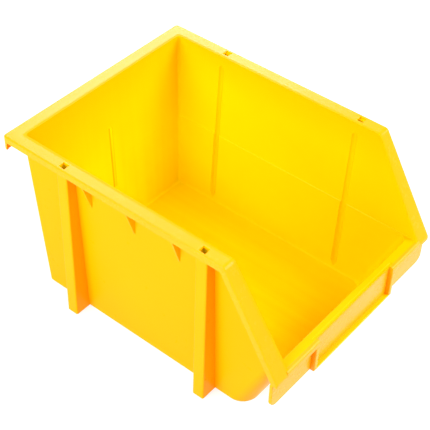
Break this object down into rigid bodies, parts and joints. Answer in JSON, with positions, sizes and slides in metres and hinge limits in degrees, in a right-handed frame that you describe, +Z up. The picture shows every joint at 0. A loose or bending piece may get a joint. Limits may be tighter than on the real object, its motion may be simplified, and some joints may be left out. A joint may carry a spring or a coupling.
{
  "type": "stackable storage bin",
  "caption": "Open-top plastic parts bin with a sloping hopper front, a flanged rim with stacking sockets, a rear hanging lip and a label holder under the front lip.",
  "frame": {"origin": "middle of the base, under the middle of the overall box", "axes": "+Z up, the open hopper front faces -Y, the hanging lip is at +Y, +X to the right seen from the front"},
  "size_m": [0.21, 0.278, 0.162],
  "materials": {
    "floor_plastic": "yellow polypropylene, satin gloss",
    "wall_plastic": "yellow polypropylene, satin gloss",
    "rim_plastic": "yellow polypropylene, satin gloss",
    "lip_plastic": "yellow polypropylene, satin gloss",
    "skirt_plastic": "yellow polypropylene, satin gloss",
    "post_plastic": "yellow polypropylene, satin gloss"
  },
  "bodies": {
    "root": {"floor_panel": "floor_plastic", "rear_wall": "wall_plastic", "rear_wall_rib": "wall_plastic", "left_wall": "wall_plastic", "right_wall": "wall_plastic", "front_wall": "wall_plastic", "front_left_corner": "wall_plastic", "front_right_corner": "wall_plastic", "rear_rim": "rim_plastic", "left_rim": "rim_plastic", "right_rim": "rim_plastic", "left_rim_edge": "rim_plastic", "right_rim_edge": "rim_plastic", "hanging_lip": "rim_plastic", "left_sloped_rim": "rim_plastic", "right_sloped_rim": "rim_plastic", "left_sloped_edge": "rim_plastic", "right_sloped_edge": "rim_plastic", "front_lip": "lip_plastic", "left_lip_edge": "lip_plastic", "right_lip_edge": "lip_plastic", "front_skirt": "skirt_plastic", "label_cheek_left": "skirt_plastic", "label_cheek_right": "skirt_plastic", "label_ledge": "skirt_plastic", "left_rear_post": "post_plastic", "left_front_post": "post_plastic", "right_rear_post": "post_plastic", "right_front_post": "post_plastic", "left_gusset_1": "post_plastic", "left_gusset_2": "post_plastic", "left_gusset_3": "post_plastic", "right_gusset_1": "post_plastic", "right_gusset_2": "post_plastic", "right_gusset_3": "post_plastic"}
  },
  "joints": []
}
